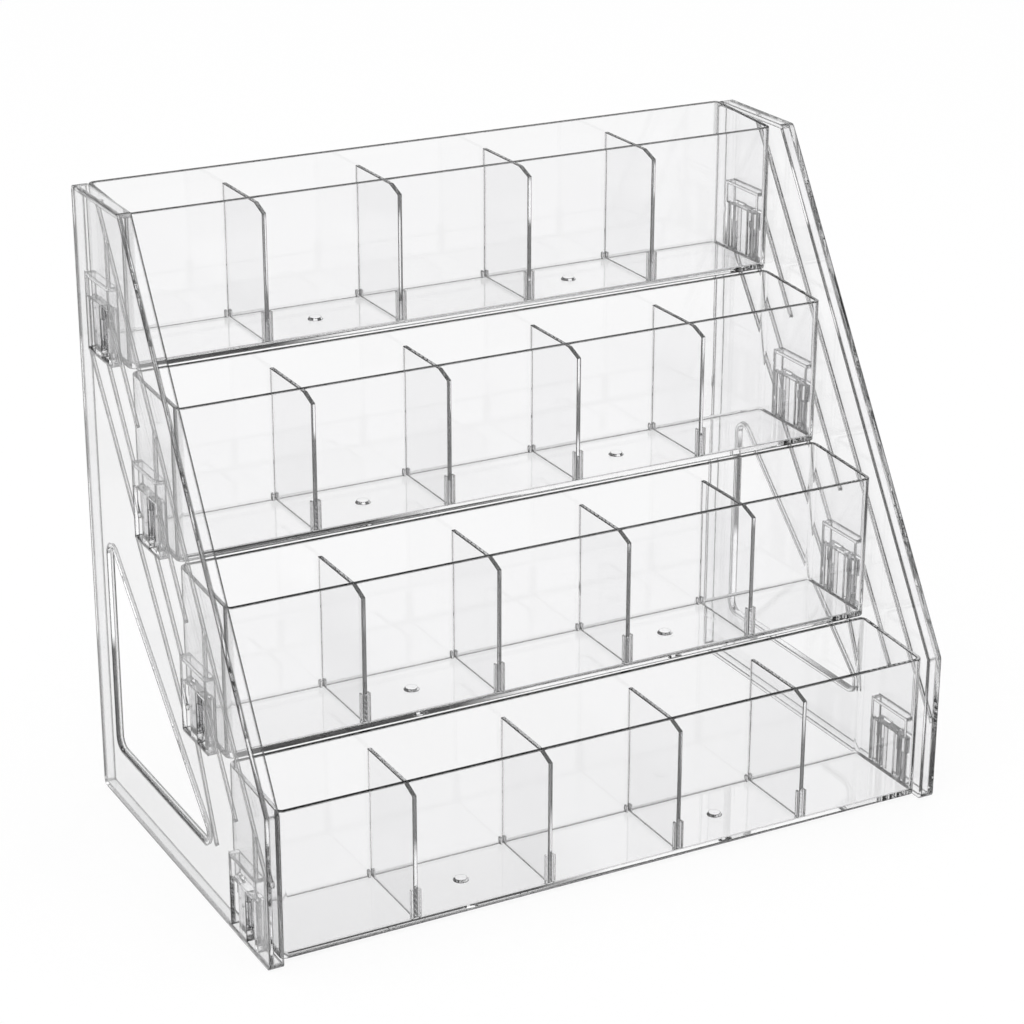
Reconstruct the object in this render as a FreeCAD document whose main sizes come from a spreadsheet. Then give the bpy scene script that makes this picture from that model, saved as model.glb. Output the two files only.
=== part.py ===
import FreeCAD, Part
import math
import os
import Sketcher

# Four-tier stepped organiser in clear plastic: two side panels, four trays that hang between
# them by hooks, and four loose dividers in each tray.
# The frame: +X to the right, +Y to the back, +Z up, with the origin on the table under the
# middle of the organiser. Lengths are millimetres.

SIZES = {
    # Trays, and how they stack up and step back
    "tray_length": 316.4,
    "tray_depth": 47.2,
    "tray_height": 70.4,
    "tray_wall": 2,
    "tray_front_drop": 2.6,
    "tray_rounding": 3.5,
    "tray_gap": 0.4,
    "tray_overlap": 0.9,
    "stack_gap": 0.6,
    "foot_gap": 1.6,
    # Side panel: a thin web with a rim round its inner side
    "panel_thickness": 6.4,
    "panel_web": 2,
    "panel_rounding": 2.6,
    "front_margin": 3.9,
    "nose_margin": 0.6,
    "ridge_margin": 7.3,
    # Triangular window low in the panel
    "window_back_inset": 20,
    "window_base": 114,
    "window_foot": 28,
    "window_rise": 105,
    "window_rounding": 5,
    "window_rim": 1.6,
    # Low ribs on the web
    "rib_width": 1.4,
    "rib_height": 1.4,
    "long_rib_rise": 22,
    "side_rib_foot": 22,
    "side_rib_drop": 41,
    "last_rib_tail": 4,
    # Hooks on the tray ends and their sockets in the panels
    "hook_spacing": 16,
    "hook_foot": 1,
    "hook_height": 22.5,
    "hook_gap": 0.35,
    "neck_width": 3.4,
    "head_width": 8,
    "head_height": 8,
    "head_thickness": 1.6,
    "socket_skin": 1.6,
    "socket_wall": 1.6,
    # Dividers and the guides that hold them upright
    "divider_pitch": 64,
    "divider_thickness": 2,
    "divider_rim_drop": 7.6,
    "divider_gap": 0.3,
    "divider_slant": 8.4,
    "divider_drop": 3,
    "front_guide_height": 14,
    "back_guide_height": 3,
    "guide_reach": 1.8,
    "guide_width": 0.9,
    # Round gate buttons on the tray floor
    "button_radius": 3.4,
    "button_height": 1.1,
    "button_rounding": 0.6,
}

TIERS = ["bottom", "lower", "upper", "top"]
DIVIDERS_PER_TRAY = 4

# Edges and faces are matched within this much, and a face looks one way above this share
SLACK = 1e-4
STEEP_SHARE = 0.9


class Length:
    """A named size, or a sum of them, as a number and as the expression that gives it."""

    def __init__(self, value, text):
        self.value = value
        self.text = text

    def __add__(self, other):
        return Length(self.value + other.value, f"({self.text} + {other.text})")

    def __sub__(self, other):
        return Length(self.value - other.value, f"({self.text} - {other.text})")

    def __neg__(self):
        return Length(-self.value, f"(-{self.text})")

    def __mul__(self, times):
        if isinstance(times, Length):
            return Length(self.value * times.value, f"({self.text} * {times.text})")
        return Length(self.value * times, f"({self.text} * {times})")

    def __truediv__(self, parts):
        if isinstance(parts, Length):
            return Length(self.value / parts.value, f"({self.text} / {parts.text})")
        return Length(self.value / parts, f"({self.text} / {parts})")

    def root(self):
        return Length(math.sqrt(self.value), f"sqrt({self.text})")


ZERO = Length(0, "0")

document = FreeCAD.newDocument("stepped_organiser")
sheet = document.addObject("Spreadsheet::Sheet", "Sizes")
for row, (name, value) in enumerate(SIZES.items(), 1):
    sheet.set(f"A{row}", name)
    sheet.set(f"B{row}", str(value))
    sheet.setAlias(f"B{row}", name)
document.recompute()


def size(name):
    return Length(float(sheet.get(name)), f"Sizes.{name}")


def bind(item, prop, length):
    item.setExpression(prop, length.text)


def place(item, x, y, z):
    for axis, length in (("x", x), ("y", y), ("z", z)):
        bind(item, f"Placement.Base.{axis}", length)


def new_body(label):
    body = document.addObject("PartDesign::Body", label)
    body.Label = label
    return body


def sketch_on(body, name, plane, offset=ZERO):
    sketch = body.newObject("Sketcher::SketchObject", name)
    support = [item for item in body.Origin.OriginFeatures if item.Role == plane]
    sketch.AttachmentSupport = (support[0], "")
    sketch.MapMode = "FlatFace"
    bind(sketch, "AttachmentOffset.Base.z", offset)
    return sketch


def add_outline(sketch, corners):
    """Close a loop of straight edges, each corner held at its two distances from the origin."""
    first = sketch.GeometryCount
    count = len(corners)
    points = [FreeCAD.Vector(across.value, up.value) for across, up in corners]
    sketch.addGeometry([Part.LineSegment(points[i], points[(i + 1) % count]) for i in range(count)])
    sketch.addConstraint([
        Sketcher.Constraint("Coincident", first + i, 2, first + (i + 1) % count, 1) for i in range(count)
    ])
    for i, (across, up) in enumerate(corners):
        for kind, length in (("DistanceX", across), ("DistanceY", up)):
            index = sketch.addConstraint(Sketcher.Constraint(kind, -1, 1, first + i, 1, length.value))
            bind(sketch, f"Constraints[{index}]", length)


def add_rectangle(sketch, left, right, low, high):
    add_outline(sketch, [(left, low), (right, low), (right, high), (left, high)])


def add_circle(sketch, across, up, radius):
    centre = FreeCAD.Vector(across.value, up.value)
    circle = sketch.addGeometry(Part.Circle(centre, FreeCAD.Vector(0, 0, 1), radius.value))
    for kind, length in (("DistanceX", across), ("DistanceY", up)):
        index = sketch.addConstraint(Sketcher.Constraint(kind, -1, 1, circle, 3, length.value))
        bind(sketch, f"Constraints[{index}]", length)
    index = sketch.addConstraint(Sketcher.Constraint("Radius", circle, radius.value))
    bind(sketch, f"Constraints[{index}]", radius)


def pad(body, sketch, length):
    feature = body.newObject("PartDesign::Pad", f"{sketch.Name}_pad")
    feature.Profile = sketch
    bind(feature, "Length", length)
    return feature


def pocket(body, sketch, length, forwards=False):
    """Cut away from the sketch's normal, or along it where forwards is set."""
    feature = body.newObject("PartDesign::Pocket", f"{sketch.Name}_pocket")
    feature.Profile = sketch
    bind(feature, "Length", length)
    feature.Reversed = forwards
    return feature


def round_edges(body, name, radius, wanted):
    document.recompute()
    base = body.Tip
    names = [f"Edge{i}" for i, edge in enumerate(base.Shape.Edges, 1) if wanted(edge)]
    fillet = body.newObject("PartDesign::Fillet", name)
    fillet.Base = (base, names)
    bind(fillet, "Radius", radius)
    return fillet


def hollow_out(body, name, wall, open_face):
    """Leave a wall of even thickness, open at the face that the test picks."""
    document.recompute()
    base = body.Tip
    names = [f"Face{i}" for i, face in enumerate(base.Shape.Faces, 1) if open_face(face)]
    shell = body.newObject("PartDesign::Thickness", name)
    shell.Base = (base, names)
    bind(shell, "Value", wall)
    shell.Reversed = True
    shell.Join = "Intersection"
    return shell


def is_upright(edge):
    start, end = edge.Vertexes[0].Point, edge.Vertexes[-1].Point
    return math.isclose(start.x, end.x) and math.isclose(start.y, end.y)


def crosses_panel(edge, low, high):
    """A straight edge through the panel's thickness, from one depth to the other."""
    box = edge.BoundBox
    across = max(box.YLength, box.ZLength)
    return across < SLACK and abs(box.XMin - low.value) < SLACK and abs(box.XMax - high.value) < SLACK


def is_level(edge, height):
    box = edge.BoundBox
    return abs(box.ZMin - height.value) < SLACK and abs(box.ZMax - height.value) < SLACK


def looks_up(face):
    return face.Surface.TypeId == "Part::GeomPlane" and face.normalAt(0, 0).z > STEEP_SHARE


def looks_inwards(face):
    return face.Surface.TypeId == "Part::GeomPlane" and face.normalAt(0, 0).x > STEEP_SHARE

# Sizes that the pieces share
panel_thickness = size("panel_thickness")
panel_web = size("panel_web")
tray_wall = size("tray_wall")
tray_depth = size("tray_depth")
tray_height = size("tray_height")
low_rim = tray_height - size("tray_front_drop")
hook_gap = size("hook_gap")
hook_foot = size("hook_foot")
hook_height = size("hook_height")
head_width = size("head_width")
head_height = size("head_height")
head_thickness = size("head_thickness")
neck_width = size("neck_width")
socket_skin = size("socket_skin")
socket_wall = size("socket_wall")
divider_pitch = size("divider_pitch")
divider_thickness = size("divider_thickness")
divider_gap = size("divider_gap")
rib_width = size("rib_width")

tray_half_length = size("tray_length") / 2
half_width = tray_half_length + size("tray_gap") + panel_thickness
tier_rise = tray_height + size("stack_gap")
tier_run = tray_depth - size("tray_overlap")
steps = len(TIERS) - 1
half_depth = (size("front_margin") + tier_run * steps + tray_depth) / 2
overall_height = size("foot_gap") + tier_rise * steps + tray_height
hook_places = [tray_depth / 2 - size("hook_spacing") / 2, tray_depth / 2 + size("hook_spacing") / 2]


def tray_front(tier):
    """Each tray stands further back than the one below, the top one flush with the panels."""
    return size("front_margin") - half_depth + tier_run * tier


def tray_underside(tier):
    return size("foot_gap") + tier_rise * tier


def make_tray(tier):
    body = new_body(f"{TIERS[tier]}_tray")

    # Open box with rounded corners, its rim sloping down to the front
    plan = sketch_on(body, f"tray_plan_{tier}", "XY_Plane")
    add_rectangle(plan, -tray_half_length, tray_half_length, ZERO, tray_depth)
    pad(body, plan, tray_height)
    round_edges(body, f"tray_corners_{tier}", size("tray_rounding"), is_upright)
    slope = sketch_on(body, f"tray_slope_{tier}", "YZ_Plane", -tray_half_length)
    add_outline(slope, [(ZERO, low_rim), (tray_depth, tray_height), (ZERO, tray_height)])
    pocket(body, slope, tray_half_length * 2, forwards=True)
    hollow_out(body, f"tray_hollow_{tier}", tray_wall, looks_up)

    # Low guides that hold each divider upright, taller at the front wall than at the back one
    first_divider = divider_pitch * (1 - DIVIDERS_PER_TRAY) / 2
    near = divider_thickness / 2 + divider_gap
    far = near + size("guide_width")
    reach = size("guide_reach")
    guide_pairs = []
    for end, low in (("front", tray_wall), ("back", tray_depth - tray_wall - reach)):
        guides = sketch_on(body, f"{end}_guides_{tier}", "XY_Plane", tray_wall)
        add_rectangle(guides, first_divider - far, first_divider - near, low, low + reach)
        add_rectangle(guides, first_divider + near, first_divider + far, low, low + reach)
        guide_pairs.append(pad(body, guides, size(f"{end}_guide_height")))
    document.recompute()
    guide_row = body.newObject("PartDesign::LinearPattern", f"guide_row_{tier}")
    guide_row.Originals = guide_pairs
    guide_row.Direction = (guides, ["H_Axis"])
    bind(guide_row, "Length", divider_pitch * (DIVIDERS_PER_TRAY - 1))
    guide_row.Occurrences = DIVIDERS_PER_TRAY
    body.Tip = guide_row

    # Two round buttons on the floor, in the second and the fourth compartment
    buttons = sketch_on(body, f"buttons_{tier}", "XY_Plane", tray_wall)
    for across in (-divider_pitch, divider_pitch):
        add_circle(buttons, across, tray_depth / 2, size("button_radius"))
    pad(body, buttons, size("button_height"))
    button_top = tray_wall + size("button_height")
    round_edges(body, f"button_tops_{tier}", size("button_rounding"), lambda edge: is_level(edge, button_top))

    # Two hooks on each end: an upright neck with a wider head behind the panel's skin
    neck_start = tray_half_length - tray_wall / 2
    head_start = tray_half_length + size("tray_gap") + socket_skin + hook_gap
    head_end = head_start + size("head_thickness")
    necks = sketch_on(body, f"necks_{tier}", "XY_Plane", hook_foot)
    heads = sketch_on(body, f"heads_{tier}", "XY_Plane", hook_foot + hook_height - head_height)
    for at in hook_places:
        for sketch, start, width in ((necks, neck_start, neck_width), (heads, head_start, head_width)):
            front, back = at - width / 2, at + width / 2
            add_rectangle(sketch, start, head_end, front, back)
            add_rectangle(sketch, -head_end, -start, front, back)
    pad(body, necks, hook_height)
    pad(body, heads, head_height)

    place(body, ZERO, tray_front(tier), tray_underside(tier))
    return body


def make_divider(tier, number):
    """A flat plate with its top front corner cut on a slant."""
    body = new_body(f"{TIERS[tier]}_divider_{number + 1}")
    length = tray_depth - tray_wall * 2 - divider_gap * 2
    inset = tray_wall + divider_gap
    top = tray_height - inset - size("divider_rim_drop")
    slant = size("divider_slant")
    plate = sketch_on(body, f"plate_{tier}_{number}", "YZ_Plane")
    add_outline(plate, [
        (ZERO, ZERO), (length, ZERO), (length, top), (slant, top), (ZERO, top - size("divider_drop"))
    ])
    pad(body, plate, divider_thickness)
    across = divider_pitch * (2 * number + 1 - DIVIDERS_PER_TRAY) / 2 - divider_thickness / 2
    place(body, across, tray_front(tier) + inset, tray_underside(tier) + inset)
    return body


def add_rib(sketch, top_at, top, foot_at, foot):
    side = rib_width / 2
    add_outline(sketch, [(top_at - side, top), (foot_at - side, foot), (foot_at + side, foot), (top_at + side, top)])


def run_of(rise):
    """How far back the tiers step over a rise, which the ribs beside them follow."""
    return rise * tier_run / tier_rise


def make_left_panel():
    body = new_body("left_side_panel")

    # Outline seen from the side, hollowed from the inner side to leave a web and a rim
    ridge_front = half_depth - tray_depth - size("ridge_margin")
    nose = tray_underside(0) + low_rim + size("nose_margin")
    outline = sketch_on(body, "panel_outline", "YZ_Plane")
    add_outline(outline, [
        (-half_depth, ZERO), (half_depth, ZERO), (half_depth, overall_height),
        (ridge_front, overall_height), (-half_depth, nose)
    ])
    pad(body, outline, panel_thickness)
    round_edges(body, "panel_corners", size("panel_rounding"),
                lambda edge: crosses_panel(edge, ZERO, panel_thickness))
    hollow_out(body, "panel_hollow", panel_web, looks_inwards)

    # Triangular window with a low rim round it
    back = half_depth - size("window_back_inset")
    foot, base, rise = size("window_foot"), size("window_base"), size("window_rise")
    rim = size("window_rim")
    slant = (base * base + rise * rise).root()
    rib_top = panel_web + size("rib_height")
    window_rim = sketch_on(body, "window_rim", "YZ_Plane")
    add_outline(window_rim, [
        (back + rim, foot - rim),
        (back + rim, foot + rise + rim * (slant + rise) / base),
        (back - base - rim * (slant + base) / rise, foot - rim)
    ])
    pad(body, window_rim, rib_top)
    window = sketch_on(body, "window", "YZ_Plane")
    add_outline(window, [(back, foot), (back, foot + rise), (back - base, foot)])
    pocket(body, window, panel_thickness, forwards=True)
    rounding = size("window_rounding")
    round_edges(body, "window_corners", rounding, lambda edge: crosses_panel(edge, ZERO, rib_top))
    round_edges(body, "window_rim_corners", rounding + rim, lambda edge: crosses_panel(edge, panel_web, rib_top))

    # Sockets, one block to a tray: two channels for the hook heads, a wide entry above them
    # where the heads come in, and a slot through the skin for each neck
    channel_low = hook_foot - hook_gap
    channel_high = hook_foot + hook_height + hook_gap
    entry_high = channel_high + head_height + hook_gap * 2
    head_side, neck_side = head_width / 2 + hook_gap, neck_width / 2 + hook_gap
    inner_front, inner_back = hook_places[0] - head_side, hook_places[1] + head_side
    block_front, block_back = inner_front - socket_wall, inner_back + socket_wall
    block_low, block_high = channel_low - socket_wall, entry_high + socket_wall
    blocks = sketch_on(body, "socket_blocks", "YZ_Plane")
    channels = sketch_on(body, "head_channels", "YZ_Plane")
    entries = sketch_on(body, "socket_entries", "YZ_Plane", panel_thickness)
    slots = sketch_on(body, "neck_slots", "YZ_Plane", panel_thickness)
    for tier in range(len(TIERS)):
        front, under = tray_front(tier), tray_underside(tier)
        low, high = under + channel_low, under + channel_high
        add_rectangle(blocks, front + block_front, front + block_back, under + block_low, under + block_high)
        add_rectangle(entries, front + inner_front, front + inner_back, high, under + entry_high)
        for at in hook_places:
            add_rectangle(channels, front + at - head_side, front + at + head_side, low, high)
            add_rectangle(slots, front + at - neck_side, front + at + neck_side, low, high)

    # Ribs from each socket down to the next, and beside each one down the front of its block
    ribs = sketch_on(body, "web_ribs", "YZ_Plane")
    rib_ends = sketch_on(body, "rib_ends", "YZ_Plane")
    inset = socket_wall / 2
    drop = size("side_rib_drop")
    for tier in range(1, len(TIERS)):
        front, under = tray_front(tier), tray_underside(tier)
        start = under + block_low + inset
        if tier > 1:
            side, below = tray_front(tier - 1) + block_back - inset, tray_underside(tier - 1)
            add_rib(ribs, front + block_back - inset, start, side, below + head_height)
            add_rib(ribs, front + hook_places[0], start, side, below + block_high - inset)
        else:
            tail_at, tail = back - base, foot + size("last_rib_tail")
            add_rib(ribs, front + tray_depth / 2, start, tail_at, tail)
            add_circle(rib_ends, tail_at, tail, rib_width / 2)
        head_at, head = front + block_front + inset, under + size("side_rib_foot")
        foot_at, foot_level = head_at - run_of(drop), head - drop
        add_rib(ribs, head_at, head, foot_at, foot_level)
        add_circle(rib_ends, foot_at, foot_level, rib_width / 2)

    # A long rib in front of all the sockets, from the top rim to the front rim, and an upright
    # rib from each block up to it
    uprights = sketch_on(body, "upright_ribs", "YZ_Plane")
    long_rib = sketch_on(body, "long_rib", "YZ_Plane")
    rise = size("long_rib_rise")
    for tier in range(len(TIERS)):
        front, top = tray_front(tier) + block_front, tray_underside(tier) + block_high
        add_rectangle(uprights, front, front + rib_width, top - inset, top + rise)
    rim_middle = panel_web / 2
    top, low_at = overall_height - rim_middle, rim_middle - half_depth
    crossing_at, crossing = tray_front(0) + block_front + rib_width / 2, tray_underside(0) + block_high + rise
    low = crossing - (crossing_at - low_at) * tier_rise / tier_run
    add_rib(long_rib, crossing_at + run_of(top - crossing), top, low_at, low)

    pad(body, blocks, panel_thickness)
    for sketch in (ribs, rib_ends, uprights, long_rib):
        pad(body, sketch, rib_top)
    pocket(body, channels, panel_thickness - socket_skin, forwards=True)
    pocket(body, entries, panel_thickness - panel_web)
    pocket(body, slots, socket_skin)

    place(body, -half_width, ZERO, ZERO)
    return body


left_panel = make_left_panel()
right_panel = document.addObject("Part::Mirroring", "right_side_panel")
right_panel.Label = "right_side_panel"
right_panel.Source = left_panel
right_panel.Normal = (1, 0, 0)

pieces = [left_panel, right_panel]
for tier in range(len(TIERS)):
    pieces.append(make_tray(tier))
    pieces.extend(make_divider(tier, number) for number in range(DIVIDERS_PER_TRAY))
document.recompute()

for item in document.Objects:
    if "Invalid" in item.State or "Error" in item.State:
        raise RuntimeError(f"{item.Name} is {item.State}")

os.makedirs("parts", exist_ok=True)
for piece in pieces:
    shape = piece.Shape
    if shape.isNull() or not shape.isValid() or len(shape.Solids) != 1:
        raise RuntimeError(f"{piece.Label} is not one sound solid")
    shape.exportStep(os.path.join("parts", f"{piece.Label}.step"))
    box = shape.BoundBox
    print(f"{piece.Label}: {shape.Volume:.0f} mm3, X {box.XMin:.1f} to {box.XMax:.1f}, "
          f"Y {box.YMin:.1f} to {box.YMax:.1f}, Z {box.ZMin:.1f} to {box.ZMax:.1f}")
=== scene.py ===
import math

import bmesh
import bpy
from mathutils import Matrix, Vector


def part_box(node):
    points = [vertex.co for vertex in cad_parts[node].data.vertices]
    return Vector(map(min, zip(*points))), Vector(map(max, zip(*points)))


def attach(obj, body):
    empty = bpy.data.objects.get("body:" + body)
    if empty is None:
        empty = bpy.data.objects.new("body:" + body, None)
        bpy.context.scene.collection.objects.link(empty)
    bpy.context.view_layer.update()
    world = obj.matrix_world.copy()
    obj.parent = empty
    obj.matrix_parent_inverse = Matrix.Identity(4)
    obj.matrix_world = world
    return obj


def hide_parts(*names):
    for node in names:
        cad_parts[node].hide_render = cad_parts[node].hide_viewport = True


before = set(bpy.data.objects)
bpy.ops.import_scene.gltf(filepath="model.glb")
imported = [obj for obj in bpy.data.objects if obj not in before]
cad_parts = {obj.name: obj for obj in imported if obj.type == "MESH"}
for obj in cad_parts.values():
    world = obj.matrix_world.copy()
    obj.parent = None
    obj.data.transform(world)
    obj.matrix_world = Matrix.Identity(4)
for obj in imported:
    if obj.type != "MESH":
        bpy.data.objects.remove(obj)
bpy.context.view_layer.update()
mm = 0.001
tiers = ["bottom", "lower", "upper", "top"]
flatWeight = 100
print("frame loaded:", len(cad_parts), "nodes")


def addNode(tree, kind, settings=None, values=None):
    node = tree.nodes.new(kind)
    for name, value in (settings or {}).items():
        setattr(node, name, value)
    for socket, value in (values or {}).items():
        node.inputs[socket].default_value = value
    return node


def feed(tree, node, given):
    # goes through the node's sockets in their order and gives each a number or a link
    for socket, value in zip(node.inputs, given):
        if isinstance(value, (int, float)):
            socket.default_value = value
        else:
            tree.links.new(value, socket)
    return node.outputs[0]


def calc(tree, work, *given):
    return feed(tree, addNode(tree, "ShaderNodeMath", {"operation": work}), given)


def pointOf(tree, *given):
    return feed(tree, addNode(tree, "ShaderNodeCombineXYZ"), given)


def spread(tree, value, fromLow, fromHigh, toLow=0, toHigh=1):
    # carries one stretch of numbers over to another, and holds still beyond its ends
    return feed(tree, addNode(tree, "ShaderNodeMapRange"), (value, fromLow, fromHigh, toLow, toHigh))


def newPiece(name, mesh):
    piece = bpy.data.objects.new(name, mesh)
    bpy.context.scene.collection.objects.link(piece)
    return piece


def shadeClean(piece, crease):
    # soft over the roundings, crisp where two flats meet, and no false curve on a flat
    for face in piece.data.polygons:
        face.use_smooth = True
    piece.data.set_sharp_from_angle(angle=math.radians(crease))
    even = piece.modifiers.new("even", "WEIGHTED_NORMAL")
    even.mode, even.weight, even.keep_sharp = "FACE_AREA", flatWeight, True


def largeFlats(shape, least, level):
    # the faces of each flat patch that is at least so large, found by walking over its level edges
    found, seen = set(), set()
    for first in shape.faces:
        if first in seen:
            continue
        patch, todo = [], [first]
        seen.add(first)
        while todo:
            face = todo.pop()
            patch.append(face)
            for edge in face.edges:
                for other in edge.link_faces:
                    if other not in seen and other.normal.angle(face.normal, 1) < level:
                        seen.add(other)
                        todo.append(other)
        if sum(face.calc_area() for face in patch) >= least:
            found.update(patch)
    return found


def newTree(name, sockets):
    tree = bpy.data.node_groups.new(name, "GeometryNodeTree")
    tree.interface.new_socket("Geometry", in_out="OUTPUT", socket_type="NodeSocketGeometry")
    for label, kind in sockets:
        tree.interface.new_socket(label, in_out="INPUT", socket_type=f"NodeSocket{kind}")
    return tree, addNode(tree, "NodeGroupInput"), addNode(tree, "NodeGroupOutput")


def finishTree(tree, made, take, result):
    # moves what the tree made to its place and gives it its plastic
    move = addNode(tree, "GeometryNodeTransform")
    paint = addNode(tree, "GeometryNodeSetMaterial")
    tree.links.new(made, move.inputs["Geometry"])
    tree.links.new(take["Place"], move.inputs["Translation"])
    tree.links.new(move.outputs["Geometry"], paint.inputs["Geometry"])
    tree.links.new(take["Plastic"], paint.inputs["Material"])
    tree.links.new(paint.outputs["Geometry"], result.inputs["Geometry"])


def runTree(piece, tree, sizes):
    # gives the tree its sizes socket by socket, and keeps what it makes as a plain mesh
    layer = piece.modifiers.new("make", "NODES")
    layer.node_group = tree
    for socket in tree.interface.items_tree:
        if socket.in_out == "INPUT" and socket.name in sizes:
            layer[socket.identifier] = sizes[socket.name]
    piece.update_tag()
    graph = bpy.context.evaluated_depsgraph_get()
    made = bpy.data.meshes.new_from_object(piece.evaluated_get(graph), depsgraph=graph)
    piece.modifiers.remove(layer)
    piece.data = made


# Clear plastics: what all three share, then what is each one's own

anyPlastic = {
    "tint": (0.986, 0.985, 0.989), "tintLight": (0.994, 0.994, 0.997), "cloudDetail": 3.0,
    # lineSamples, lineFrom, lineTo and the black edge colour draw painted shade: dark lines along the edges
    "lineSamples": 4, "lineFrom": 0.9985, "lineTo": 0.9965, "edgeShadeColour": (0.0, 0.0, 0.0),
    "hazeDetail": 4.0, "hazeFrom": 0.4, "hazeTo": 0.75, "polish": 0.0,
    "rippleDetail": 1.0, "rippleDepth": 1 * mm,
    "scratchStretch": (260.0, 18.0, 40.0), "scratchTurn": (0.4, 0.3, 0.9), "scratchScale": 1.0,
    "scratchDetail": 2.0, "scratchFrom": 0.7, "scratchTo": 0.76, "scratchDepth": 0.02 * mm,
    "deep": (0.5, 0.5, 0.51)
}
plasticLook = {
    "panelPlastic": {
        "index": 1.52, "cloudScale": 9.0, "hazeScale": 24.0, "dull": 0.016, "rippleScale": 26.0,
        "ripple": 0.02, "scratch": 0.2, "density": 3.5, "line": 0.85 * mm
    },
    "trayPlastic": {
        "index": 1.5, "cloudScale": 12.0, "hazeScale": 30.0, "dull": 0.012, "rippleScale": 32.0,
        "ripple": 0.015, "scratch": 0.2, "density": 4.0, "line": 0.42 * mm
    },
    "dividerPlastic": {
        "index": 1.5, "cloudScale": 16.0, "hazeScale": 34.0, "dull": 0.018, "rippleScale": 30.0,
        "ripple": 0.02, "scratch": 0.3, "density": 4.0, "line": 0.42 * mm
    },
}


def noise(tree, where, scale, detail):
    node = addNode(tree, "ShaderNodeTexNoise", values={"Scale": scale, "Detail": detail})
    tree.links.new(where, node.inputs["Vector"])
    return node.outputs["Fac"]


def bump(tree, height, normal, strength, distance):
    node = addNode(tree, "ShaderNodeBump", values={"Strength": strength, "Distance": distance})
    tree.links.new(height, node.inputs["Height"])
    tree.links.new(normal, node.inputs["Normal"])
    return node.outputs["Normal"]


def cloudyTint(tree, look, spot):
    # faint cloudiness where the melt met
    tint = addNode(tree, "ShaderNodeValToRGB")
    for end, colour in zip(tint.color_ramp.elements, (look["tint"], look["tintLight"])):
        end.color = (*colour, 1)
    tree.links.new(noise(tree, spot, look["cloudScale"], look["cloudDetail"]), tint.inputs["Fac"])
    return tint.outputs["Color"]


def paintedEdgeShade(tree, look, tint, normal):
    # painted shade: dark lines in the base colour along the edges, where a small rounding would turn the
    # surface away from its flat; they stand in for the dark lines that refraction draws there
    flat = addNode(tree, "ShaderNodeNewGeometry")
    turn = addNode(tree, "ShaderNodeVectorMath", {"operation": "DOT_PRODUCT"})
    tree.links.new(normal, turn.inputs[0])
    tree.links.new(flat.outputs["Normal"], turn.inputs[1])
    edge = addNode(tree, "ShaderNodeMix", {"data_type": "RGBA"}, {7: (*look["edgeShadeColour"], 1)})
    tree.links.new(spread(tree, turn.outputs["Value"], look["lineFrom"], look["lineTo"]), edge.inputs[0])
    tree.links.new(tint, edge.inputs[6])
    return edge.outputs[2]


def wornFace(tree, look, spot, normal):
    # slow ripple of the moulded faces, with hairline scratches over it
    ripple = noise(tree, spot, look["rippleScale"], look["rippleDetail"])
    stretch = addNode(tree, "ShaderNodeMapping", values={
        "Scale": look["scratchStretch"], "Rotation": look["scratchTurn"]
    })
    tree.links.new(spot, stretch.inputs["Vector"])
    scratch = noise(tree, stretch.outputs["Vector"], look["scratchScale"], look["scratchDetail"])
    lines = spread(tree, scratch, look["scratchFrom"], look["scratchTo"])
    rippled = bump(tree, ripple, normal, look["ripple"], look["rippleDepth"])
    return bump(tree, lines, rippled, look["scratch"], look["scratchDepth"])


def clearPlastic(name):
    look = {**anyPlastic, **plasticLook[name]}
    material = bpy.data.materials.new(name)
    material.use_nodes = True
    tree = material.node_tree
    tree.nodes.clear()
    link = tree.links.new
    out = addNode(tree, "ShaderNodeOutputMaterial")
    shader = addNode(tree, "ShaderNodeBsdfPrincipled", values={
        "Transmission Weight": 1.0, "IOR": look["index"]
    })
    spot = addNode(tree, "ShaderNodeTexCoord").outputs["Object"]
    soft = addNode(tree, "ShaderNodeBevel", {"samples": look["lineSamples"]}, {"Radius": look["line"]})
    normal = soft.outputs["Normal"]
    # the base colour carries painted shade: dark lines along every edge
    link(paintedEdgeShade(tree, look, cloudyTint(tree, look, spot), normal), shader.inputs["Base Color"])
    link(wornFace(tree, look, spot, normal), shader.inputs["Normal"])

    # patches a little less polished from handling
    haze = noise(tree, spot, look["hazeScale"], look["hazeDetail"])
    polish = spread(tree, haze, look["hazeFrom"], look["hazeTo"], look["polish"], look["dull"])
    link(polish, shader.inputs["Roughness"])

    # long ways through the plastic turn grey
    deep = addNode(tree, "ShaderNodeVolumeAbsorption", values={
        "Color": (*look["deep"], 1), "Density": look["density"]
    })
    link(shader.outputs["BSDF"], out.inputs["Surface"])
    link(deep.outputs["Volume"], out.inputs["Volume"])
    return material


panelPlastic, trayPlastic, dividerPlastic = (clearPlastic(name) for name in plasticLook)
print("plastics mixed")


# Side panels: web, rim, ribs and sockets from the frame, welded into one skin

sidePanel = {"weld": 0.01 * mm, "body": "side_panels", "flat": 4 * mm * mm, "crisp": 0.5, "level": 0.01}


def makePanel(side):
    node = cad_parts[f"{side}_side_panel"]
    mesh = node.data.copy()
    shape = bmesh.new()
    shape.from_mesh(mesh)
    bmesh.ops.remove_doubles(shape, verts=shape.verts, dist=sidePanel["weld"])
    shape.normal_update()
    flats = largeFlats(shape, sidePanel["flat"], sidePanel["level"])
    for face in shape.faces:
        face.smooth = True
    for edge in shape.edges:
        turn = edge.calc_face_angle(0)
        byFlat = any(face in flats for face in edge.link_faces)
        edge.smooth = turn < sidePanel["level"] or (turn < sidePanel["crisp"] and not byFlat)
    shape.to_mesh(mesh)
    shape.free()
    mesh.materials.clear()
    mesh.materials.append(panelPlastic)
    panel = newPiece(f"{side}Panel", mesh)
    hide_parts(node.name)
    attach(panel, sidePanel["body"])
    return panel


for side in ("left", "right"):
    panel = makePanel(side)
    print(panel.name, len(panel.data.polygons), "faces")


# Trays: open moulded boxes with rounded corners, guides, buttons and hooks

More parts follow.
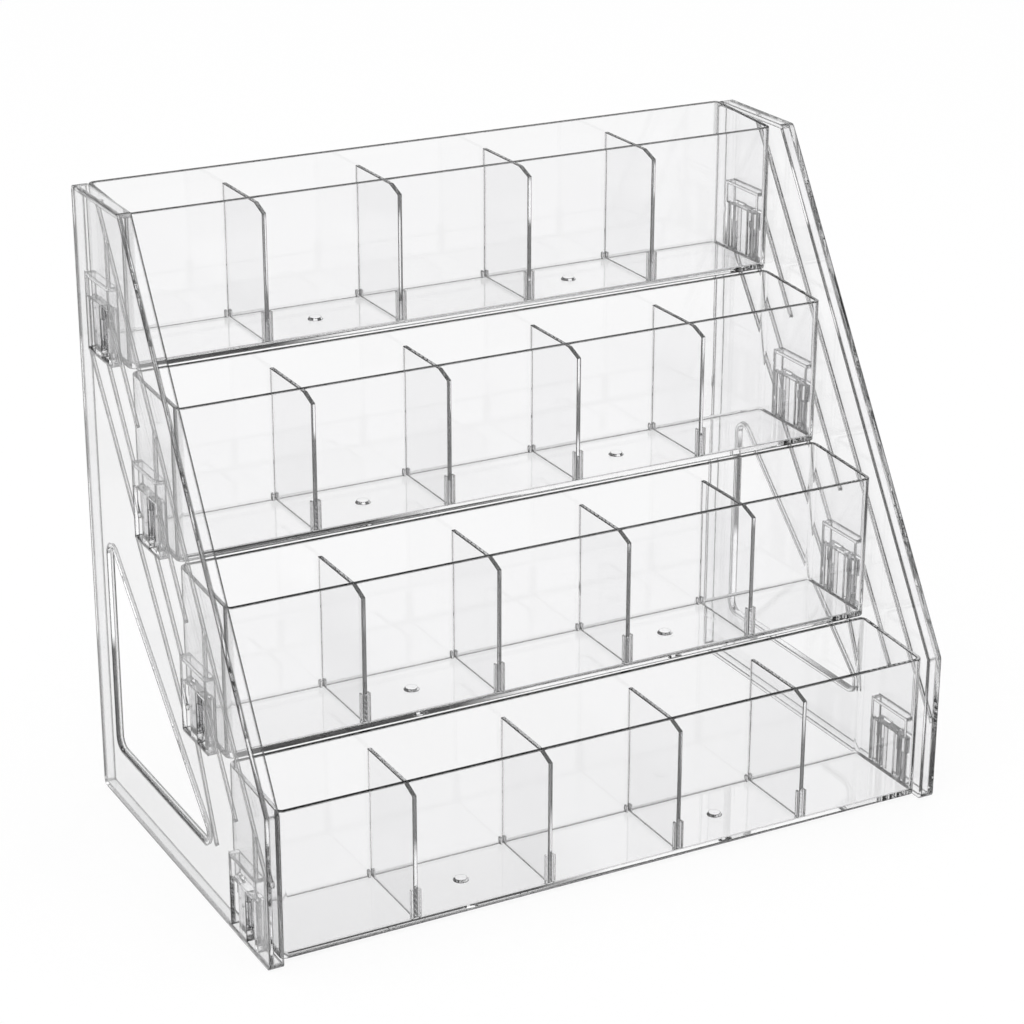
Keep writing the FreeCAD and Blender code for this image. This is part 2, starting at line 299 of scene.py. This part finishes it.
tray = {
    "length": 316.4 * mm, "depth": 47.2 * mm, "height": 70.4 * mm, "wall": 2 * mm, "frontDrop": 2.6 * mm,
    "corner": 3.5 * mm, "leastCorner": 0.4 * mm, "cornerSteps": 6, "footRound": 0.7 * mm, "footSteps": 4,
    "rimRound": 0.4 * mm, "rimSteps": 3, "floorRound": 1.2 * mm, "floorSteps": 4, "crease": 28,
    "barSteps": 3, "barWeld": 0.001 * mm, "hooksPerEnd": 2, "buttons": 2, "buttonSides": 36
}
fittings = {
    "Dividers": 4, "Pitch": 64 * mm, "Slot": 2.6 * mm, "Guide width": 0.9 * mm, "Guide reach": 1.8 * mm,
    "Front guide height": 14 * mm, "Back guide height": 3 * mm, "Guide rounding": 0.3 * mm,
    "Button radius": 3.7 * mm, "Button height": 1.1 * mm, "Button slant": 1 * mm, "Button pitch": 128 * mm,
    "Hook spacing": 16 * mm, "Hook foot": 1 * mm, "Hook reach": 3.95 * mm, "Neck width": 3.4 * mm,
    "Neck height": 22.5 * mm, "Neck rounding": 0.3 * mm, "Head width": 8 * mm, "Head height": 8 * mm,
    "Head thickness": 1.6 * mm, "Head rounding": 0.4 * mm, "Sunk": 0.6 * mm
}


def ringAt(inset, height, sloped):
    # one loop of the rounded plan, drawn in by the inset; a sloped one falls towards the front
    radius = max(tray["corner"] - inset, tray["leastCorner"])
    right, back, front = tray["length"] / 2 - inset - radius, tray["depth"] - inset - radius, inset + radius
    points = []
    for turn, (x, y) in enumerate([(right, back), (-right, back), (-right, front), (right, front)]):
        for step in range(tray["cornerSteps"] + 1):
            angle = math.radians(90 * (turn + step / tray["cornerSteps"]))
            across, along = x + radius * math.cos(angle), y + radius * math.sin(angle)
            drop = tray["frontDrop"] * (1 - along / tray["depth"]) if sloped else 0
            points.append(Vector((across, along, height - drop)))
    return points


def trayShell(name):
    # a skin over rings that go up the outside, over the rim and down the inside to the floor
    wall, top = tray["wall"], tray["height"]
    rings = []

    def roundOff(part, ringOf, sloped=False):
        # a quarter round: its two measures fall to 0 and rise from 0
        radius, steps = tray[f"{part}Round"], tray[f"{part}Steps"]
        for step in range(steps + 1):
            angle = math.radians(90 * step / steps)
            inset, height = ringOf(radius * (1 - math.sin(angle)), radius * (1 - math.cos(angle)))
            rings.append(ringAt(inset, height, sloped))

    roundOff("foot", lambda falling, rising: (falling, rising))
    roundOff("rim", lambda falling, rising: (rising, top - falling), sloped=True)
    roundOff("rim", lambda falling, rising: (wall - falling, top - rising), sloped=True)
    roundOff("floor", lambda falling, rising: (wall + rising, wall + falling))

    shape = bmesh.new()
    loops = [[shape.verts.new(point) for point in ring] for ring in rings]
    count = len(loops[0])
    for low, high in zip(loops, loops[1:]):
        for i in range(count):
            shape.faces.new([low[i], low[(i + 1) % count], high[(i + 1) % count], high[i]])
    shape.faces.new(list(reversed(loops[0])))
    shape.faces.new(loops[-1])
    bmesh.ops.recalc_face_normals(shape, faces=shape.faces)
    mesh = bpy.data.meshes.new(name)
    shape.to_mesh(mesh)
    shape.free()
    return mesh


def barTree():
    # a row of upright bars with rounded long edges, each with its foot centred on its point
    tree, given, result = newTree("barRow", [
        ("Count", "Int"), ("Middle", "Vector"), ("Step", "Vector"),
        ("Width", "Float"), ("Depth", "Float"), ("Height", "Float"), ("Rounding", "Float")
    ])
    link, take = tree.links.new, given.outputs
    plan = addNode(tree, "GeometryNodeCurvePrimitiveQuadrilateral")
    corners = addNode(tree, "GeometryNodeFilletCurve", {"mode": "POLY"}, {"Count": tray["barSteps"]})
    fill = addNode(tree, "GeometryNodeFillCurve", {"mode": "NGONS"})
    lift = addNode(tree, "GeometryNodeExtrudeMesh", None, {"Offset": (0, 0, 1), "Individual": False})
    flip = addNode(tree, "GeometryNodeFlipFaces")
    both = addNode(tree, "GeometryNodeJoinGeometry")
    weld = addNode(tree, "GeometryNodeMergeByDistance", None, {"Distance": tray["barWeld"]})
    link(take["Width"], plan.inputs["Width"])
    link(take["Depth"], plan.inputs["Height"])
    link(plan.outputs["Curve"], corners.inputs["Curve"])
    link(take["Rounding"], corners.inputs["Radius"])
    link(corners.outputs["Curve"], fill.inputs["Curve"])
    link(fill.outputs["Mesh"], lift.inputs["Mesh"])
    link(take["Height"], lift.inputs["Offset Scale"])
    link(fill.outputs["Mesh"], flip.inputs["Mesh"])
    link(flip.outputs["Mesh"], both.inputs["Geometry"])
    link(lift.outputs["Mesh"], both.inputs["Geometry"])
    link(both.outputs["Geometry"], weld.inputs["Geometry"])

    back = addNode(tree, "ShaderNodeVectorMath", {"operation": "SCALE"})
    start = addNode(tree, "ShaderNodeVectorMath", {"operation": "ADD"})
    row = addNode(tree, "GeometryNodeMeshLine", {"mode": "OFFSET"})
    stand = addNode(tree, "GeometryNodeInstanceOnPoints")
    real = addNode(tree, "GeometryNodeRealizeInstances")
    link(take["Step"], back.inputs["Vector"])
    link(calc(tree, "MULTIPLY", calc(tree, "SUBTRACT", take["Count"], 1), -0.5), back.inputs["Scale"])
    link(take["Middle"], start.inputs[0])
    link(back.outputs["Vector"], start.inputs[1])
    link(take["Count"], row.inputs["Count"])
    link(start.outputs["Vector"], row.inputs["Start Location"])
    link(take["Step"], row.inputs["Offset"])
    link(row.outputs["Mesh"], stand.inputs["Points"])
    link(weld.outputs["Geometry"], stand.inputs["Instance"])
    link(stand.outputs["Instances"], real.inputs["Geometry"])
    link(real.outputs["Geometry"], result.inputs["Geometry"])
    return tree


def buttonRow(tree, take, middle, foot):
    # low round buttons with slanting sides where the melt came in
    link = tree.links.new
    button = addNode(tree, "GeometryNodeMeshCone", None, {"Vertices": tray["buttonSides"]})
    row = addNode(tree, "GeometryNodeMeshLine", {"mode": "OFFSET"}, {"Count": tray["buttons"]})
    stand = addNode(tree, "GeometryNodeInstanceOnPoints")
    real = addNode(tree, "GeometryNodeRealizeInstances")
    start = pointOf(tree, calc(tree, "MULTIPLY", take["Button pitch"], -0.5), middle, foot)
    link(take["Button radius"], button.inputs["Radius Bottom"])
    link(calc(tree, "SUBTRACT", take["Button radius"], take["Button slant"]), button.inputs["Radius Top"])
    link(calc(tree, "ADD", take["Button height"], take["Sunk"]), button.inputs["Depth"])
    link(start, row.inputs["Start Location"])
    link(pointOf(tree, take["Button pitch"], 0, 0), row.inputs["Offset"])
    link(row.outputs["Mesh"], stand.inputs["Points"])
    link(button.outputs["Mesh"], stand.inputs["Instance"])
    link(stand.outputs["Instances"], real.inputs["Geometry"])
    return real.outputs["Geometry"]


def trayTree():
    # sets guides, hooks and buttons on the moulded box and grows them into one skin
    names = [("Shell", "Geometry"), ("Place", "Vector"), ("Plastic", "Material"), ("Dividers", "Int")]
    names += [(label, "Float") for label in fittings if label != "Dividers"]
    names += [("Length", "Float"), ("Depth", "Float"), ("Wall", "Float")]
    tree, given, result = newTree("trayFittings", names)
    link, take = tree.links.new, given.outputs
    barRow = barTree()
    grow = addNode(tree, "GeometryNodeMeshBoolean", {"operation": "UNION", "solver": "EXACT"})
    link(take["Shell"], grow.inputs["Mesh 2"])

    def add(*sizes):
        # count, middle, step, width, depth, height and rounding, as barRow takes them
        bars = addNode(tree, "GeometryNodeGroup", {"node_tree": barRow})
        link(feed(tree, bars, sizes), grow.inputs["Mesh 2"])

    half = calc(tree, "MULTIPLY", take["Length"], 0.5)
    middle = calc(tree, "MULTIPLY", take["Depth"], 0.5)
    sunk = take["Sunk"]

    # a guide on each side of each divider, at the front wall and at the back wall
    aside = calc(tree, "MULTIPLY", calc(tree, "ADD", take["Slot"], take["Guide width"]), 0.5)
    reach = calc(tree, "ADD", take["Guide reach"], sunk)
    foot = calc(tree, "SUBTRACT", take["Wall"], sunk)
    fromWall = calc(tree, "ADD", foot, calc(tree, "MULTIPLY", reach, 0.5))
    pitch = pointOf(tree, take["Pitch"], 0, 0)
    for end, along in (("Front", fromWall), ("Back", calc(tree, "SUBTRACT", take["Depth"], fromWall))):
        tall = calc(tree, "ADD", take[f"{end} guide height"], sunk)
        for across in (aside, calc(tree, "MULTIPLY", aside, -1)):
            add(take["Dividers"], pointOf(tree, across, along, foot), pitch,
                take["Guide width"], reach, tall, take["Guide rounding"])

    # two hooks on each end: a neck and the wider head that the panel's skin holds
    spacing = pointOf(tree, 0, take["Hook spacing"], 0)
    tip = calc(tree, "ADD", half, take["Hook reach"])
    neckReach = calc(tree, "ADD", take["Hook reach"], sunk)
    neckAt = calc(tree, "SUBTRACT", tip, calc(tree, "MULTIPLY", neckReach, 0.5))
    headAt = calc(tree, "SUBTRACT", tip, calc(tree, "MULTIPLY", take["Head thickness"], 0.5))
    headTop = calc(tree, "ADD", take["Hook foot"], take["Neck height"])
    headFoot = calc(tree, "SUBTRACT", headTop, take["Head height"])
    for way in (1, -1):
        neck = pointOf(tree, calc(tree, "MULTIPLY", neckAt, way), middle, take["Hook foot"])
        head = pointOf(tree, calc(tree, "MULTIPLY", headAt, way), middle, headFoot)
        add(tray["hooksPerEnd"], neck, spacing,
            neckReach, take["Neck width"], take["Neck height"], take["Neck rounding"])
        add(tray["hooksPerEnd"], head, spacing,
            take["Head thickness"], take["Head width"], take["Head height"], take["Head rounding"])

    link(buttonRow(tree, take, middle, foot), grow.inputs["Mesh 2"])
    finishTree(tree, grow.outputs["Mesh"], take, result)
    return tree


fittingTree = trayTree()
for tier in tiers:
    node = f"{tier}_tray"
    low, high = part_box(node)
    piece = newPiece(f"{tier}Tray", trayShell(f"{tier}Tray"))
    runTree(piece, fittingTree, {
        **fittings, "Length": tray["length"], "Depth": tray["depth"], "Wall": tray["wall"],
        "Place": Vector((0, low.y, low.z)), "Plastic": trayPlastic
    })
    shadeClean(piece, tray["crease"])
    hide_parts(node)
    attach(piece, f"{tier}_tray")
    print(piece.name, len(piece.data.polygons), "faces")


# Dividers: loose flat plates with the top front corner cut on a slant

divider = {
    "Thickness": 2 * mm, "Depth": 42.6 * mm, "Height": 60.5 * mm, "Slant": 8.4 * mm, "Drop": 3 * mm,
    "near": 0.1 * mm, "edge": 0.25 * mm, "edgeSteps": 2, "edgeAngle": 15, "crease": 12
}


def dividerTree():
    # a box with one more row of points across its depth, whose front top row falls
    tree, given, result = newTree("dividerPlate", [
        ("Thickness", "Float"), ("Depth", "Float"), ("Height", "Float"),
        ("Slant", "Float"), ("Drop", "Float"), ("Place", "Vector"), ("Plastic", "Material")
    ])
    link, take = tree.links.new, given.outputs
    box = addNode(tree, "GeometryNodeMeshCube", None, {"Vertices X": 2, "Vertices Y": 3, "Vertices Z": 2})
    link(pointOf(tree, take["Thickness"], take["Depth"], take["Height"]), box.inputs["Size"])
    where = addNode(tree, "GeometryNodeInputPosition")
    parts = addNode(tree, "ShaderNodeSeparateXYZ")
    link(where.outputs["Position"], parts.inputs["Vector"])
    along, up = parts.outputs["Y"], parts.outputs["Z"]
    front = calc(tree, "MULTIPLY", take["Depth"], -0.5)

    # the middle row goes to where the slant starts
    atMiddle = calc(tree, "COMPARE", along, 0, divider["near"])
    slide = addNode(tree, "GeometryNodeSetPosition")
    link(box.outputs["Mesh"], slide.inputs["Geometry"])
    link(atMiddle, slide.inputs["Selection"])
    link(pointOf(tree, 0, calc(tree, "ADD", front, take["Slant"]), 0), slide.inputs["Offset"])

    # the front top row falls by the drop
    atFront = calc(tree, "LESS_THAN", along, calc(tree, "ADD", front, divider["near"]))
    atTop = calc(tree, "GREATER_THAN", up, 0)
    fall = addNode(tree, "GeometryNodeSetPosition")
    link(slide.outputs["Geometry"], fall.inputs["Geometry"])
    link(calc(tree, "MULTIPLY", atFront, atTop), fall.inputs["Selection"])
    link(pointOf(tree, 0, 0, calc(tree, "MULTIPLY", take["Drop"], -1)), fall.inputs["Offset"])
    finishTree(tree, fall.outputs["Geometry"], take, result)
    return tree


plateTree = dividerTree()
for tier in tiers:
    for number in range(1, fittings["Dividers"] + 1):
        node = f"{tier}_divider_{number}"
        low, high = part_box(node)
        piece = newPiece(f"{tier}Divider{number}", bpy.data.meshes.new("plate"))
        runTree(piece, plateTree, {**divider, "Place": (low + high) / 2, "Plastic": dividerPlastic})
        soften = piece.modifiers.new("soften", "BEVEL")
        soften.width, soften.segments, soften.limit_method = divider["edge"], divider["edgeSteps"], "ANGLE"
        soften.angle_limit = math.radians(divider["edgeAngle"])
        shadeClean(piece, divider["crease"])
        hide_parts(node)
        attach(piece, f"{tier}_divider_{number}")
print("dividers stand in their guides")


# Pale floor, soft studio light and the camera

studio = {
    "floorSize": 14.0, "floorDrop": 0.4 * mm, "floorPaint": (0.1, 0.1, 0.1), "floorGlow": 0.9,
    "floorThrough": 0.975, "floorRoom": 0.76, "floorCardsX": 17.0, "floorCardsY": 13.0,
    "backdrop": 1.0, "through": 0.9, "room": 0.9, "backdropTop": 0.42, "backdropFade": 0.12,
    "card": 0.05, "between": 1.1, "cardEdge": 0.2, "standingCards": 7.0, "cardLean": 4.0,
    "softBox": 1.3, "boxFrom": 0.72, "boxTo": 0.86, "fewest": 1, "most": 7, "bounces": 20
}
lamp = {"place": (-0.5, -0.5, 1.9), "aim": (0, 0, 0.12), "size": 1.8, "power": 9}
lens = {
    "eye": (-0.553, -1.028, 0.605), "azimuth": -28.15, "elevation": 21.82, "roll": 0.14,
    "focalPixels": 2845, "photoWidth": 1024, "sensor": 36, "near": 0.05, "far": 50
}


def mirrored(tree):
    # 0 for light seen directly, through the plastic or after one mirroring, 1 after a few, 0 again after many
    depth = addNode(tree, "ShaderNodeLightPath").outputs["Glossy Depth"]
    few = spread(tree, depth, studio["fewest"], studio["fewest"] + 1)
    many = spread(tree, depth, studio["most"] * 2, studio["most"])
    return calc(tree, "MULTIPLY", few, many)


def paintedThroughShade(tree, full, through, room):
    # painted shade: full where it is seen straight, and less by one share through the plastic and another
    # once mirrored, in place of the shade the plastic casts and a darker room in its reflections
    path = addNode(tree, "ShaderNodeLightPath")
    dim = spread(tree, path.outputs["Glossy Depth"], 0, 1, full * through, full * room)
    return spread(tree, path.outputs["Is Camera Ray"], 0, 1, dim, full)


def darkBandsOn(tree, wave):
    # dark bands where the wave is low, with bright gaps between them
    return spread(tree, wave, 0, studio["cardEdge"], studio["card"], studio["between"])


def paleFloor():
    half = studio["floorSize"] / 2
    mesh = bpy.data.meshes.new("floor")
    corners = [(-half, -half), (half, -half), (half, half), (-half, half)]
    mesh.from_pydata([(x, y, -studio["floorDrop"]) for x, y in corners], [], [(0, 1, 2, 3)])
    floor = newPiece("floor", mesh)
    paint = bpy.data.materials.new("paleFloor")
    paint.use_nodes = True
    tree = paint.node_tree
    tree.nodes.clear()
    link = tree.links.new
    out = addNode(tree, "ShaderNodeOutputMaterial")
    pale = addNode(tree, "ShaderNodeBsdfDiffuse", values={"Color": (*studio["floorPaint"], 1)})
    glow = addNode(tree, "ShaderNodeEmission")
    both = addNode(tree, "ShaderNodeAddShader")
    spot = addNode(tree, "ShaderNodeTexCoord")
    parts = addNode(tree, "ShaderNodeSeparateXYZ")
    link(spot.outputs["Object"], parts.inputs["Vector"])

    # painted reflection: dark bands with bright gaps in the floor's glow, seen only by rays mirrored inside
    # the plastic
    waves = []
    for axis in "XY":
        along = calc(tree, "MULTIPLY", parts.outputs[axis], studio[f"floorCards{axis}"])
        waves.append(calc(tree, "SINE", along))
    bands = darkBandsOn(tree, calc(tree, "MULTIPLY", *waves))
    # painted shade: the floor is darker where it is seen through the plastic and once mirrored in it
    pure = paintedThroughShade(tree, studio["floorGlow"], studio["floorThrough"], studio["floorRoom"])
    link(spread(tree, mirrored(tree), 0, 1, pure, bands), glow.inputs["Strength"])
    link(pale.outputs[0], both.inputs[0])
    link(glow.outputs[0], both.inputs[1])
    link(both.outputs[0], out.inputs["Surface"])
    mesh.materials.append(paint)


def softStudio():
    world = bpy.data.worlds.new("softStudio")
    bpy.context.scene.world = world
    world.use_nodes = True
    tree = world.node_tree
    tree.nodes.clear()
    link = tree.links.new
    out = addNode(tree, "ShaderNodeOutputWorld")
    sky = addNode(tree, "ShaderNodeBackground", None, {"Color": (1, 1, 1, 1)})
    way = addNode(tree, "ShaderNodeTexCoord")
    parts = addNode(tree, "ShaderNodeSeparateXYZ")
    link(way.outputs["Generated"], parts.inputs["Vector"])
    x, y, z = parts.outputs

    # a soft box overhead, and cards upright round the set
    over = spread(tree, z, studio["boxFrom"], studio["boxTo"], 0, studio["softBox"])
    around = calc(tree, "MULTIPLY", calc(tree, "ARCTAN2", y, x), studio["standingCards"])
    lean = calc(tree, "MULTIPLY", z, studio["cardLean"])
    bands = darkBandsOn(tree, calc(tree, "SINE", calc(tree, "ADD", around, lean)))
    glint = calc(tree, "MAXIMUM", over, bands)

    # the backdrop is bright up to some height, and above it only the cards and the box are seen
    rise = spread(tree, z, studio["backdropTop"], studio["backdropTop"] + studio["backdropFade"])
    # painted shade: the backdrop is darker where it is seen through the plastic and once mirrored in it
    pure = paintedThroughShade(tree, studio["backdrop"], studio["through"], studio["room"])
    high = calc(tree, "MAXIMUM", mirrored(tree), rise)
    link(spread(tree, high, 0, 1, pure, glint), sky.inputs["Strength"])
    link(sky.outputs["Background"], out.inputs["Surface"])


def softLamp():
    light = bpy.data.lights.new("overheadBox", "AREA")
    light.shape, light.size, light.energy = "SQUARE", lamp["size"], lamp["power"]
    box = newPiece("overheadBox", light)
    box.location = lamp["place"]
    box.rotation_euler = (Vector(lamp["aim"]) - Vector(lamp["place"])).to_track_quat("-Z", "Y").to_euler()


def photoCamera():
    data = bpy.data.cameras.new("camera")
    data.lens = lens["focalPixels"] / lens["photoWidth"] * lens["sensor"]
    data.sensor_width, data.sensor_fit = lens["sensor"], "HORIZONTAL"
    data.clip_start, data.clip_end = lens["near"], lens["far"]
    camera = newPiece("camera", data)
    turn, rise = math.radians(lens["azimuth"]), math.radians(lens["elevation"])
    back = Vector((math.sin(turn) * math.cos(rise), -math.cos(turn) * math.cos(rise), math.sin(rise)))
    aim = (-back).to_track_quat("-Z", "Y").to_matrix() @ Matrix.Rotation(math.radians(lens["roll"]), 3, "Z")
    camera.matrix_world = Matrix.Translation(lens["eye"]) @ aim.to_4x4()
    bpy.context.scene.camera = camera


paleFloor()
softStudio()
softLamp()
photoCamera()
bpy.context.scene.view_settings.view_transform = "Standard"
bpy.context.scene.cycles.max_bounces = studio["bounces"]
bpy.context.scene.cycles.transmission_bounces = studio["bounces"]
bpy.context.scene.cycles.glossy_bounces = studio["bounces"]
print("stage set")
